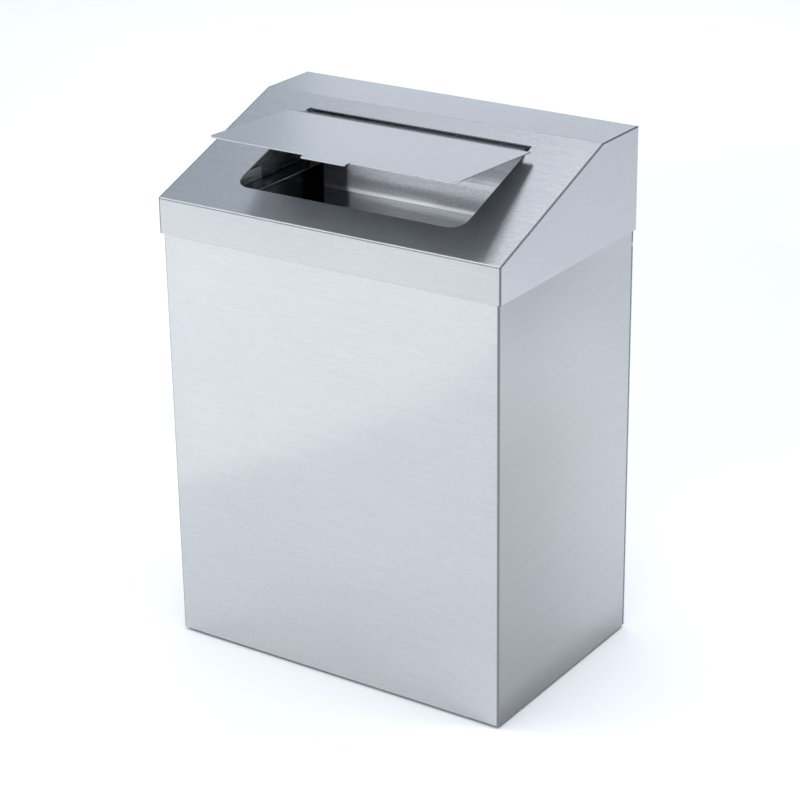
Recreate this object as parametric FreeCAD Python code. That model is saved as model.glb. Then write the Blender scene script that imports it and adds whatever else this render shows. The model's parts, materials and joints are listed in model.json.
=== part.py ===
import FreeCAD, Part
import math
import os

# Dog waste bin in folded stainless sheet: an open-topped body, a lift-off hood with a sloping
# face, and a hinged throw-in flap. Millimetres, +Z up, the front faces -Y. The origin is the
# bottom centre of the whole bin, on the floor it stands on.

V = FreeCAD.Vector

# ---- driving dimensions -------------------------------------------------------------------
HOOD_WIDTH = 300.0
HOOD_DEPTH = 193.0
BODY_HEIGHT = 342.0          # body sheet, bottom edge to the top of its rim
FOOT_HEIGHT = 2.5            # how far the feet stand below the body
SKIRT_OVERLAP = 8.8          # how far the hood's skirt hangs below the body's rim
SKIRT_HEIGHT = 28.0          # front skirt, bottom edge to the fold of the slope
SLOPE_ANGLE = 20.35
TOP_DEPTH = 52.3             # flat top behind the slope
SHEET = 1.0
BEND = 0.8                   # inside radius of every fold

# body
RIM_WIDTH = 14.0             # inward rim along the front and the sides
RIM_MITRE = 0.6              # slit between the front rim and each side rim
BACK_RETURN = 12.0           # inward fold of the side walls that the back is welded to
PAN_LIP = 15.0               # upturned edge of the base pan
DRAIN_R = 3.0
DRAIN_SPACING_X = 120.0
DRAIN_SPACING_Y = 80.0
FOOT_INSET = 25.0
FOOT_R = 9.0
FOOT_STEM_R = 4.0
FOOT_BARB_R = 5.2
FOOT_BARB = 2.0

# wall fixing
FIX_SPACING_X = 200.0
FIX_LOW_ROW = 60.0           # height of the lower row above the body's bottom edge
FIX_HIGH_ROW = 62.0          # depth of the upper row below the body's rim
FIX_HOLE_R = 3.5
STRIP_SHEET = 2.0
STRIP_HEIGHT = 24.0
STRIP_OVERHANG = 20.0        # strip beyond the outer holes

# bag frame
FRAME_WIRE_R = 2.5
FRAME_DEPTH = 54.0           # middle of the wire below the body's rim
FRAME_CORNER_R = 22.0
HOOK_SHEET = 1.5
HOOK_WIDTH = 20.0
HOOK_WALL_LEG = 16.0
HOOK_TIP = 6.0
HOOK_FROM_END = 32.0         # middle of a hook from the frame's front or rear wire

# hood
OPENING_WIDTH = 199.6
OPENING_LOW = 29.8           # lower edge of the cut-out, up the slope from the front fold
OPENING_HIGH = 133.4
OPENING_LOW_R = 12.0
OPENING_HIGH_R = 1.5
REAR_TAIL = 21.5             # how far the hood's rear panel reaches down inside the body
JOGGLE_HEIGHT = 3.0
REST_ANGLE = 11.0            # legs of the angles that the hood stands on
REST_FRONT_END = 36.0        # rest angle's ends, from the hood's front
REST_REAR_END = 125.0

# flap and its hinge
FLAP_WIDTH = 215.7
FLAP_FRONT = 16.4            # front edge of the closed flap, up the slope from the front fold
FLAP_CREASE = 113.8
FLAP_SHOULDER = 2.7          # full-width part behind the crease
FLAP_FRONT_R = 4.5
TAB_WIDTH = 39.0
TAB_LENGTH = 8.0
TAB_R = 2.0
TONGUE_ANGLE = 9.5           # downward crease at the rear of the flap
TONGUE_END = 1.0             # tongue beyond the line where it touches the hinge tubes
HINGE_PLACE = 129.5          # hinge line, up the slope from the front fold
ROD_R = 2.0
TUBE_R = 3.0
TUBE_LENGTH = 42.0
EAR_SHEET = 2.0
EAR_FRONT = 8.0              # bracket's ear, down the slope from the hinge line
EAR_BACK = 14.0
EAR_FOOT = 10.0              # bracket's foot under the slope, behind the rod's clip
EAR_BELOW = 6.0              # bracket below the hinge line
CLIP_R = 3.7
CLIP_THICK = 1.0
ROD_END = 2.5                # rod beyond each clip
FLAP_OPEN = 22.5             # how far open the flap stands at rest

# ---- clearances ---------------------------------------------------------------------------
SIDE_PLAY = 1.0              # hood to body, each side
FRONT_PLAY = 0.5
REAR_PLAY = 0.5
SEAT_GAP = 0.3               # loose parts above what they stand on
JOGGLE_GAP = 0.8
RUNNING = 0.05               # radial, hinge rod in its holes
GRIP = 0.02                  # radial, pushed-on parts
TAIL_SIDE_GAP = 1.5
RIM_END_GAP = 5.0
FRAME_RIM_GAP = 3.0          # bag frame inside the rim that it is lifted through
FRAME_TAIL_GAP = 3.5
HOOK_PLAY = 1.0
TONGUE_SIDE_GAP = 1.8
EAR_SIDE_GAP = 2.2           # bracket's ear beyond the side of the cut-out
TUBE_END_GAP = 0.3
CLIP_GAP = 1.0               # clip to the bracket's foot

# ---- places worked out from them ----------------------------------------------------------
FRONT = -HOOD_DEPTH / 2
REAR = HOOD_DEPTH / 2
BODY_WIDTH = HOOD_WIDTH - 2 * (SHEET + SIDE_PLAY)
BODY_HALF = BODY_WIDTH / 2
BODY_FRONT = FRONT + SHEET + FRONT_PLAY
WRAP_REAR = REAR - SHEET
BODY_BOTTOM = FOOT_HEIGHT
BODY_TOP = BODY_BOTTOM + BODY_HEIGHT
HOOD_HALF = HOOD_WIDTH / 2
SKIRT_BOTTOM = BODY_TOP - SKIRT_OVERLAP
FOLD_Z = SKIRT_BOTTOM + SKIRT_HEIGHT
SLOPE = math.radians(SLOPE_ANGLE)
SLOPE_RUN = HOOD_DEPTH - TOP_DEPTH
HOOD_TOP = FOLD_Z + SLOPE_RUN * math.tan(SLOPE)
TONGUE = math.radians(TONGUE_ANGLE)
FLAP_SEAT = SEAT_GAP + FLAP_SHOULDER * math.sin(TONGUE)
HINGE_DROP = ((HINGE_PLACE - FLAP_CREASE) * math.tan(TONGUE) + TUBE_R / math.cos(TONGUE)
              - FLAP_SEAT)
TONGUE_WIDTH = OPENING_WIDTH - 2 * TONGUE_SIDE_GAP
EAR_INNER = OPENING_WIDTH / 2 + EAR_SIDE_GAP
FRAME_HALF = BODY_HALF - RIM_WIDTH - FRAME_RIM_GAP - FRAME_WIRE_R
FRAME_FRONT = BODY_FRONT + RIM_WIDTH + FRAME_RIM_GAP + FRAME_WIRE_R
FRAME_REAR = WRAP_REAR - REAR_PLAY - SHEET - FRAME_TAIL_GAP - FRAME_WIRE_R
FRAME_Z = BODY_TOP - FRAME_DEPTH
FIX_LOW_Z = BODY_BOTTOM + FIX_LOW_ROW
FIX_HIGH_Z = BODY_TOP - FIX_HIGH_ROW


# ---- shape helpers ------------------------------------------------------------------------
def rounded(points, radii, closed=False):
    """A wire through the points, with an arc of the given radius at each corner."""
    count = len(points)
    places = range(count) if closed else range(1, count - 1)
    ends = {}
    for place in places:
        corner = points[place]
        to_last = (points[place - 1] - corner).normalize()
        to_next = (points[(place + 1) % count] - corner).normalize()
        half = to_last.getAngle(to_next) / 2
        radius = radii[place]
        reach = radius / math.tan(half)
        bisector = (to_last + to_next).normalize()
        middle = corner + bisector * (radius / math.sin(half) - radius)
        ends[place] = (corner + to_last * reach, middle, corner + to_next * reach)
    edges = []
    for place in range(count if closed else count - 1):
        following = (place + 1) % count
        start = ends[place][2] if place in ends else points[place]
        end = ends[following][0] if following in ends else points[following]
        if (end - start).Length > 1e-6:
            edges.append(Part.makeLine(start, end))
        if following in ends and radii[following] > 0:
            edges.append(Part.Arc(*ends[following]).toShape())
    return Part.Wire(edges)


def plate(points, radii, sweep):
    """A flat plate with rounded corners, swept along a vector."""
    return Part.Face(rounded(points, radii, closed=True)).extrude(sweep)


def folded(path, normal, sweep, thickness=SHEET, bend=BEND):
    """Folded sheet: the path is one face, and the sheet lies on the path's left about normal."""
    runs = [(b - a).normalize() for a, b in zip(path, path[1:])]
    lefts = [normal.cross(run) for run in runs]
    far = [path[0] + lefts[0] * thickness]
    near_radii = [0]
    far_radii = [0]
    for place in range(1, len(path) - 1):
        a, b = lefts[place - 1], lefts[place]
        far.append(path[place] + (a + b) * (thickness / (1 + a.dot(b))))
        towards = runs[place - 1].cross(runs[place]).dot(normal) > 0
        near_radii.append(bend + thickness if towards else bend)
        far_radii.append(bend if towards else bend + thickness)
    far.append(path[-1] + lefts[-1] * thickness)
    near_wire = rounded(path, near_radii)
    far_wire = rounded(far, far_radii)
    ends = [Part.makeLine(path[0], far[0]), Part.makeLine(path[-1], far[-1])]
    outline = Part.Wire(Part.sortEdges(near_wire.Edges + far_wire.Edges + ends)[0])
    return Part.Face(outline).extrude(sweep)


def rod(start, end, radius):
    return Part.makeCylinder(radius, (end - start).Length, start, end - start)


def tube(start, end, outer, inner):
    return rod(start, end, outer).cut(rod(start, end, inner))


def mirrored(shape):
    """The same piece on the other side of the bin."""
    return shape.mirror(V(0, 0, 0), V(1, 0, 0))


def slope_point(x, up, out):
    """A point by its distance up the slope from the front fold and out from the slope's face."""
    y = FRONT + up * math.cos(SLOPE) - out * math.sin(SLOPE)
    z = FOLD_Z + up * math.sin(SLOPE) + out * math.cos(SLOPE)
    return V(x, y, z)


SLOPE_OUT = V(0, -math.sin(SLOPE), math.cos(SLOPE))
UP_SLOPE = V(0, math.cos(SLOPE), math.sin(SLOPE))
ACROSS = V(1, 0, 0)
HINGE = slope_point(0, HINGE_PLACE, -HINGE_DROP)


def save(name, *solids):
    shape = solids[0] if len(solids) == 1 else Part.makeCompound(list(solids))
    shape.exportStep("parts/" + name + ".step")


# ---- body ---------------------------------------------------------------------------------
def rim():
    """The inward rim: three strips that meet at mitre slits in the front corners."""
    inner = BODY_HALF - RIM_WIDTH
    front_inner = BODY_FRONT + RIM_WIDTH
    end = WRAP_REAR - RIM_END_GAP
    corner_r = BEND + SHEET
    outline = [V(-BODY_HALF, BODY_FRONT, 0), V(BODY_HALF, BODY_FRONT, 0), V(BODY_HALF, end, 0),
               V(inner, end, 0), V(inner, front_inner, 0), V(-inner, front_inner, 0),
               V(-inner, end, 0), V(-BODY_HALF, end, 0)]
    strips = plate(outline, [corner_r, corner_r, 0, 0, 0, 0, 0, 0], V(0, 0, SHEET))
    for side in (-1, 1):
        wall_corner = V(side * (BODY_HALF - SHEET - BEND), BODY_FRONT + SHEET + BEND, -SHEET)
        slit = Part.makeBox(2 * RIM_WIDTH, RIM_MITRE, 3 * SHEET, V(0, -RIM_MITRE / 2, 0))
        slit.rotate(V(0, 0, 0), V(0, 0, 1), 90 + side * 45)
        slit.translate(wall_corner)
        strips = strips.cut(slit)
    return strips.translated(V(0, 0, BODY_TOP - SHEET))


def body_wrap():
    """Front and both side walls in one sheet, with the rim and the returns at the back."""
    inner_end = BODY_HALF - BACK_RETURN
    path = [V(-inner_end, WRAP_REAR, 0), V(-BODY_HALF, WRAP_REAR, 0),
            V(-BODY_HALF, BODY_FRONT, 0), V(BODY_HALF, BODY_FRONT, 0),
            V(BODY_HALF, WRAP_REAR, 0), V(inner_end, WRAP_REAR, 0)]
    path = [point + V(0, 0, BODY_BOTTOM) for point in path]
    walls = folded(path, V(0, 0, 1), V(0, 0, BODY_HEIGHT))
    shell = walls.fuse(rim()).removeSplitter()
    rim_edges = [edge for edge in shell.Edges if on_rim_outline(edge)]
    return shell.makeFillet(BEND, rim_edges)


def on_rim_outline(edge):
    """True for the rim's outer edge along the front and the sides."""
    box = edge.BoundBox
    level = box.ZMin > BODY_TOP - 0.01
    straight = box.XLength < 0.01 or box.YLength < 0.01
    at_side = abs(abs(box.Center.x) - BODY_HALF) < 0.01 and box.YLength > RIM_WIDTH
    at_front = abs(box.Center.y - BODY_FRONT) < 0.01
    return level and straight and (at_side or at_front)


def fixing_holes(y, depth):
    holes = []
    for x in (-FIX_SPACING_X / 2, FIX_SPACING_X / 2):
        for z in (FIX_LOW_Z, FIX_HIGH_Z):
            holes.append(rod(V(x, y, z), V(x, y + depth, z), FIX_HOLE_R))
    return holes


def back_panel():
    low = V(-BODY_HALF, WRAP_REAR, BODY_BOTTOM)
    panel = Part.makeBox(BODY_WIDTH, SHEET, BODY_HEIGHT, low)
    for hole in fixing_holes(WRAP_REAR - SHEET, 3 * SHEET):
        panel = panel.cut(hole)
    return panel


def mount_strip(z):
    """Flat bar behind a row of wall screws, welded to the inside of the back."""
    half = FIX_SPACING_X / 2 + STRIP_OVERHANG
    inner = WRAP_REAR - STRIP_SHEET
    corners = [V(-half, inner, z - STRIP_HEIGHT / 2), V(half, inner, z - STRIP_HEIGHT / 2),
               V(half, inner, z + STRIP_HEIGHT / 2), V(-half, inner, z + STRIP_HEIGHT / 2)]
    bar = plate(corners, [STRIP_HEIGHT / 4] * 4, V(0, STRIP_SHEET, 0))
    for hole in fixing_holes(inner - SHEET, STRIP_SHEET + 2 * SHEET):
        bar = bar.cut(hole)
    return bar


def foot_places():
    near = BODY_FRONT + FOOT_INSET
    far = REAR - FOOT_INSET
    side = BODY_HALF - FOOT_INSET
    return [V(x, y, 0) for x in (-side, side) for y in (near, far)]


def base_pan():
    half = BODY_HALF - SHEET
    near = BODY_FRONT + SHEET
    far = WRAP_REAR - SHEET
    corner_r = BEND + SHEET

    def block(inset, z, height):
        radius = corner_r - inset
        corners = [V(-half + inset, near + inset, z), V(half - inset, near + inset, z),
                   V(half - inset, far - inset, z), V(-half + inset, far - inset, z)]
        return plate(corners, [radius] * 4, V(0, 0, height))

    pan = block(0, BODY_BOTTOM, PAN_LIP).cut(block(SHEET, BODY_BOTTOM + SHEET, PAN_LIP))
    for place in foot_places():
        pan = pan.cut(rod(place, place + V(0, 0, PAN_LIP), FOOT_STEM_R + GRIP))
    middle_y = (near + far) / 2
    for x in (-DRAIN_SPACING_X / 2, DRAIN_SPACING_X / 2):
        for y in (middle_y - DRAIN_SPACING_Y / 2, middle_y + DRAIN_SPACING_Y / 2):
            pan = pan.cut(rod(V(x, y, 0), V(x, y, PAN_LIP), DRAIN_R))
    return pan


def foot(place):
    """Push-in rubber foot: a pad, a stem through the pan and a barb above it."""
    edge = FOOT_HEIGHT / 4
    pan_top = BODY_BOTTOM + SHEET
    profile = [V(0, 0, 0), V(FOOT_R - edge, 0, 0), V(FOOT_R, 0, edge), V(FOOT_R, 0, FOOT_HEIGHT),
               V(FOOT_STEM_R, 0, FOOT_HEIGHT), V(FOOT_STEM_R, 0, pan_top),
               V(FOOT_BARB_R, 0, pan_top), V(FOOT_STEM_R - 1, 0, pan_top + FOOT_BARB),
               V(0, 0, pan_top + FOOT_BARB), V(0, 0, 0)]
    turned = Part.Face(Part.makePolygon(profile)).revolve(V(0, 0, 0), V(0, 0, 1), 360)
    return turned.translated(place)


# ---- bag frame ----------------------------------------------------------------------------
HOOK_SEAT_Z = FRAME_Z - FRAME_WIRE_R - SEAT_GAP


def bag_hook(y):
    """Left-hand J-shaped hook on the side wall, with its trough under the wire."""
    wall = -BODY_HALF + SHEET
    tip = -FRAME_HALF + FRAME_WIRE_R + HOOK_PLAY + HOOK_SHEET
    under = HOOK_SEAT_Z - HOOK_SHEET
    path = [V(wall, y - HOOK_WIDTH / 2, under + HOOK_WALL_LEG), V(wall, y - HOOK_WIDTH / 2, under),
            V(tip, y - HOOK_WIDTH / 2, under), V(tip, y - HOOK_WIDTH / 2, under + HOOK_TIP)]
    return folded(path, V(0, -1, 0), V(0, HOOK_WIDTH, 0), HOOK_SHEET)


def bag_frame():
    """Wire ring that the bag's mouth is folded over."""
    corners = [V(-FRAME_HALF, FRAME_FRONT, FRAME_Z), V(FRAME_HALF, FRAME_FRONT, FRAME_Z),
               V(FRAME_HALF, FRAME_REAR, FRAME_Z), V(-FRAME_HALF, FRAME_REAR, FRAME_Z)]
    path = rounded(corners, [FRAME_CORNER_R] * 4, closed=True)
    start = path.Edges[0].valueAt(path.Edges[0].FirstParameter)
    section = Part.Wire(Part.makeCircle(FRAME_WIRE_R, start, V(1, 0, 0)))
    return path.makePipeShell([section], True, False)


# ---- hood ---------------------------------------------------------------------------------
def hood_path(x):
    """The hood's outer face seen from the side: skirt, slope and flat top."""
    fold_y = FRONT + SLOPE_RUN
    return [V(x, FRONT, SKIRT_BOTTOM), V(x, FRONT, FOLD_Z), V(x, fold_y, HOOD_TOP),
            V(x, REAR, HOOD_TOP)]


def opening():
    half = OPENING_WIDTH / 2
    corners = [slope_point(-half, OPENING_LOW, -3 * SHEET), slope_point(half, OPENING_LOW, -3 * SHEET),
               slope_point(half, OPENING_HIGH, -3 * SHEET), slope_point(-half, OPENING_HIGH, -3 * SHEET)]
    radii = [OPENING_LOW_R, OPENING_LOW_R, OPENING_HIGH_R, OPENING_HIGH_R]
    return plate(corners, radii, SLOPE_OUT * (6 * SHEET))


def hood_cover():
    """Skirt, slope and top in one folded sheet, as wide as the hood."""
    sheet = folded(hood_path(-HOOD_HALF), V(-1, 0, 0), ACROSS * HOOD_WIDTH)
    return sheet.cut(opening())


def hood_side():
    """Left-hand cheek, fitted inside the cover's folds and flush with its edge."""
    block = Part.makeBox(SHEET, HOOD_DEPTH, HOOD_TOP - SKIRT_BOTTOM,
                         V(-HOOD_HALF, FRONT, SKIRT_BOTTOM))
    cover = folded(hood_path(-HOOD_HALF), V(-1, 0, 0), ACROSS * SHEET)
    pieces = block.cut(cover).Solids
    return max(pieces, key=lambda piece: below_cover(piece))


def below_cover(piece):
    """Volume of a cut piece that lies under the slope, to tell the cheek from the scrap."""
    return piece.Volume if piece.BoundBox.ZMin < SKIRT_BOTTOM + SHEET else 0


def hood_rear():
    """Rear panel, stepped inward so that its tail slides down inside the body's back."""
    half = HOOD_HALF - SHEET
    step_low = BODY_TOP + JOGGLE_GAP
    tail_y = WRAP_REAR - REAR_PLAY
    path = [V(-half, REAR, HOOD_TOP - SHEET), V(-half, REAR, step_low + JOGGLE_HEIGHT),
            V(-half, tail_y, step_low), V(-half, tail_y, BODY_TOP - REAR_TAIL)]
    sheet = folded(path, V(-1, 0, 0), ACROSS * (2 * half))
    tail_half = BODY_HALF - BACK_RETURN - TAIL_SIDE_GAP
    for side in (-1, 1):
        low_x = min(side * tail_half, side * HOOD_HALF)
        notch = Part.makeBox(HOOD_HALF - tail_half, 20 * SHEET, REAR_TAIL + JOGGLE_GAP,
                             V(low_x, REAR - 10 * SHEET, BODY_TOP - REAR_TAIL))
        sheet = sheet.cut(notch)
    return sheet


def rest_angle():
    """Left-hand angle inside the cheek; the hood stands on the body's rim with it."""
    wall = -HOOD_HALF + SHEET
    y = FRONT + REST_FRONT_END
    under = BODY_TOP + SEAT_GAP
    path = [V(wall, y, under + REST_ANGLE), V(wall, y, under), V(wall + REST_ANGLE, y, under)]
    return folded(path, V(0, -1, 0), V(0, REST_REAR_END - REST_FRONT_END, 0))


def hinge_bracket():
    """Right-hand bracket: a foot welded under the slope, and an ear that holds the rod."""
    low = HINGE_PLACE - EAR_FRONT
    bottom = -HINGE_DROP - EAR_BELOW
    path = [slope_point(EAR_INNER, low, bottom), slope_point(EAR_INNER, low, -SHEET),
            slope_point(EAR_INNER + EAR_SHEET + EAR_FOOT, low, -SHEET)]
    bracket = folded(path, UP_SLOPE, UP_SLOPE * (EAR_FRONT + EAR_BACK), EAR_SHEET)
    outer = EAR_INNER + EAR_SHEET
    beyond = outer + 2 * EAR_FOOT
    foot_start = HINGE_PLACE + CLIP_R + CLIP_GAP
    corners = [slope_point(outer, low - 1, bottom), slope_point(beyond, low - 1, bottom),
               slope_point(beyond, foot_start, bottom), slope_point(outer, foot_start, bottom)]
    bracket = bracket.cut(plate(corners, [0] * 4, SLOPE_OUT * (HINGE_DROP + EAR_BELOW)))
    start = HINGE + ACROSS * (EAR_INNER - EAR_SHEET)
    return bracket.cut(rod(start, start + ACROSS * (3 * EAR_SHEET), ROD_R + RUNNING))


def hinge_rod():
    half = EAR_INNER + EAR_SHEET + CLIP_THICK + ROD_END
    bar = rod(HINGE - ACROSS * half, HINGE + ACROSS * half, ROD_R)
    return bar.makeChamfer(ROD_R / 4, [e for e in bar.Edges if e.Closed])


def rod_clip():
    """Right-hand push-on clip that keeps the rod in its bracket."""
    start = HINGE + ACROSS * (EAR_INNER + EAR_SHEET)
    return tube(start, start + ACROSS * CLIP_THICK, CLIP_R, ROD_R + GRIP)


# ---- flap ---------------------------------------------------------------------------------
def opened(shape):
    """Turns a piece drawn on the closed flap to where the flap stands at rest."""
    return shape.rotated(HINGE, V(-1, 0, 0), FLAP_OPEN)


def flap():
    """Flap plate with its finger tab, and the tongue that reaches down to the hinge."""
    low = FLAP_FRONT - TAB_LENGTH
    reach = (HINGE_PLACE - FLAP_CREASE) / math.cos(TONGUE) + TUBE_R * math.tan(TONGUE) + TONGUE_END
    end_up = FLAP_CREASE + reach * math.cos(TONGUE)
    end_out = FLAP_SEAT - reach * math.sin(TONGUE)
    half = FLAP_WIDTH / 2
    path = [slope_point(-half, end_up, end_out), slope_point(-half, FLAP_CREASE, FLAP_SEAT),
            slope_point(-half, low, FLAP_SEAT)]
    sheet = folded(path, -ACROSS, ACROSS * FLAP_WIDTH)
    shoulder = FLAP_CREASE + FLAP_SHOULDER
    tongue = TONGUE_WIDTH / 2
    tab = TAB_WIDTH / 2
    beyond = HINGE_PLACE + 4 * TUBE_R
    right = [(tab, low, TAB_R), (tab, FLAP_FRONT, TAB_R / 2), (half, FLAP_FRONT, FLAP_FRONT_R),
             (half, shoulder, TAB_R / 2), (tongue, shoulder, 0), (tongue, beyond, 0)]
    left = [(-x, up, radius) for x, up, radius in reversed(right)]
    corners = [slope_point(x, up, -6 * TUBE_R) for x, up, radius in right + left]
    radii = [radius for x, up, radius in right + left]
    outline = plate(corners, radii, SLOPE_OUT * (12 * TUBE_R))
    return opened(sheet.common(outline).Solids[0])


def hinge_tube():
    """Right-hand tube under the tongue, turning on the rod."""
    end = HINGE + ACROSS * (EAR_INNER - TUBE_END_GAP)
    return tube(end - ACROSS * TUBE_LENGTH, end, TUBE_R, ROD_R + RUNNING)


# ---- the bin ------------------------------------------------------------------------------
def main():
    os.makedirs("parts", exist_ok=True)
    save("body_wrap", body_wrap())
    save("back_panel", back_panel())
    save("base_pan", base_pan())
    save("mount_strip_upper", mount_strip(FIX_HIGH_Z))
    save("mount_strip_lower", mount_strip(FIX_LOW_Z))
    save("rubber_feet", *[foot(place) for place in foot_places()])
    for end, y in (("front", FRAME_FRONT + HOOK_FROM_END), ("rear", FRAME_REAR - HOOK_FROM_END)):
        hook = bag_hook(y)
        save("bag_hook_" + end + "_left", hook)
        save("bag_hook_" + end + "_right", mirrored(hook))
    save("bag_frame", bag_frame())
    save("hood_cover", hood_cover())
    save("hood_side_left", hood_side())
    save("hood_side_right", mirrored(hood_side()))
    save("hood_rear_panel", hood_rear())
    save("rest_angle_left", rest_angle())
    save("rest_angle_right", mirrored(rest_angle()))
    save("hinge_bracket_left", mirrored(hinge_bracket()))
    save("hinge_bracket_right", hinge_bracket())
    save("hinge_rod", hinge_rod())
    save("rod_clips", rod_clip(), mirrored(rod_clip()))
    save("flap", flap())
    save("hinge_tube_left", mirrored(hinge_tube()))
    save("hinge_tube_right", hinge_tube())


main()
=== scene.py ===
import json
import math

import bmesh
import bpy
from bpy.props import FloatProperty, FloatVectorProperty, PointerProperty
from mathutils import Matrix, Vector


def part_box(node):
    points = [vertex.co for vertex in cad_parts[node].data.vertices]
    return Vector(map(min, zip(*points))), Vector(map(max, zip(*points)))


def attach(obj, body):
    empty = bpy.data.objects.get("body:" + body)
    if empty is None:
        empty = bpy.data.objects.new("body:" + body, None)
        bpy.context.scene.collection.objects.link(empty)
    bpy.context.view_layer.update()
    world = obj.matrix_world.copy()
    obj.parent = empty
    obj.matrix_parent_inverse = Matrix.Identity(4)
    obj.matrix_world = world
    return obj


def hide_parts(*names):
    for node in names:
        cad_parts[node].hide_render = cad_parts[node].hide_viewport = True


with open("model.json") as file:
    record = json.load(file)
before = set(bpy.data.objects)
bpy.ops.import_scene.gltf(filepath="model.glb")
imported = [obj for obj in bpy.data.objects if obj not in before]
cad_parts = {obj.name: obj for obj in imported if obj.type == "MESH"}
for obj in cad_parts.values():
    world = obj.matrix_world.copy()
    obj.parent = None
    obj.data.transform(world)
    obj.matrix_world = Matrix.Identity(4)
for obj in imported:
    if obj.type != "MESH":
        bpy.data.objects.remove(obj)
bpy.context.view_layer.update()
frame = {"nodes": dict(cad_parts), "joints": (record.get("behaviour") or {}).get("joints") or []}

bl_info = {
    "name": "Dog Waste Bin",
    "version": (1, 0, 0),
    "blender": (4, 5, 0),
    "location": "3D View > Sidebar > Waste Bin",
    "description": "Folded steel skin, finishes and studio for a packed dog waste bin",
    "category": "Object",
}

# Metres, +Z up, the front faces -Y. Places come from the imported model.
WRAP_LOW, WRAP_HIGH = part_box("body_wrap")
HOOD_LOW, HOOD_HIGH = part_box("hood_cover")
TAIL_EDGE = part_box("hood_rear_panel")[0].z
HINGE_JOINT = next(joint for joint in frame["joints"] if joint["name"] == "flap_hinge")
HINGE = Vector(HINGE_JOINT["pos_m"])
HINGE_AXIS = Vector(HINGE_JOINT["axis"])
FLAP_OPEN = -math.radians(HINGE_JOINT["range_deg"][0])
X_AXIS = Vector((1, 0, 0))
Y_AXIS = Vector((0, 1, 0))
Z_AXIS = Vector((0, 0, 1))
SAME_PLACE = 1e-6

# Segments round a fold or corner, and round a ground weld or a deburred edge.
ARC_STEPS = 6
WELD_STEPS = 4
DEBURR_STEPS = 2
FLOOR_STEPS = 96
# Strips that a wide sheet is cut into, so that it can bow and shade evenly.
FRONT_STRIPS = 24
SIDE_STRIPS = 16
HEIGHT_STRIPS = 28
FLAP_STRIPS_ACROSS = 12
FLAP_STRIPS_ALONG = 6
# Edges sharper than this are deburred, and how much more the flat faces' shading counts.
SHARP_ANGLE = math.radians(50)
FLAT_WEIGHT = 60
# The side panels' bow as a share of the front's, and how far the front's leans to the right.
SIDE_BOW = 0.6
FRONT_BOW_LEAN = 0.35


# ---- settings -----------------------------------------------------------------------------
def length(name, description, default):
    return FloatProperty(name=name, description=description, default=default, min=0.0,
                         precision=5, subtype="DISTANCE", unit="LENGTH")


def colour(name, description, default):
    return FloatVectorProperty(name=name, description=description, default=default, size=3,
                               min=0.0, max=1.0, subtype="COLOR")


def share(name, description, default):
    return FloatProperty(name=name, description=description, default=default, min=0.0, max=1.0,
                         subtype="FACTOR")


class WASTEBIN_PG_sheet(bpy.types.PropertyGroup):
    thickness: length("Sheet", "Thickness of the folded sheet", 0.001)
    bend: length("Bend", "Outer radius of every fold", 0.0018)
    weld_edge: length("Ground weld", "Radius of the hood's welded and ground corners", 0.0007)
    deburr: length("Deburr", "Softening of the cut edges", 0.00012)
    bow: length("Bow", "How far a wide panel dips in its middle", 0.00035)


class WASTEBIN_PG_body(bpy.types.PropertyGroup):
    rim_width: length("Rim", "Width of the inward rim", 0.014)
    rim_bend: length("Rim bend", "Outer radius of the rim's fold", 0.0012)
    rim_slit: length("Rim slit", "Mitre slit in the front corners of the rim", 0.0006)
    rim_end: length("Rim end", "Gap behind the side rims", 0.005)
    back_return: length("Back return", "Inward fold that the back is welded to", 0.012)


class WASTEBIN_PG_hood(bpy.types.PropertyGroup):
    skirt: length("Skirt", "Height of the skirt up to the slope", 0.028)
    top_depth: length("Top", "Depth of the flat top", 0.0523)
    opening_width: length("Opening width", "Width of the throw-in opening", 0.1996)
    opening_low: length("Opening foot", "Lower edge of the opening up the slope", 0.0298)
    opening_high: length("Opening head", "Upper edge of the opening up the slope", 0.1334)
    low_radius: length("Low corners", "Radius of the opening's lower corners", 0.012)
    high_radius: length("High corners", "Radius of the opening's upper corners", 0.0015)


class WASTEBIN_PG_flap(bpy.types.PropertyGroup):
    width: length("Width", "Width of the flap", 0.2157)
    front: length("Front", "Front edge of the closed flap up the slope", 0.0164)
    crease: length("Crease", "Crease of the closed flap up the slope", 0.1138)
    crease_strip: length("Crease strip", "Strip kept flat in front of the crease", 0.003)
    shoulder: length("Shoulder", "Full width part behind the crease", 0.0027)
    front_radius: length("Front corners", "Radius of the front corners", 0.0045)
    tab_width: length("Tab width", "Width of the finger tab", 0.039)
    tab_length: length("Tab length", "How far the finger tab stands out", 0.008)
    tab_radius: length("Tab corners", "Radius of the finger tab's corners", 0.002)
    tongue_width: length("Tongue", "Width of the tongue in the opening", 0.196)
    tongue_reach: length("Tongue reach", "Tongue from the crease to its end", 0.01742)
    tongue_angle: FloatProperty(name="Tongue angle", description="Downward crease of the tongue",
                                default=math.radians(9.5), subtype="ANGLE", unit="ROTATION")
    seat: length("Seat", "Gap between the closed flap and the slope", 0.000746)


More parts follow.
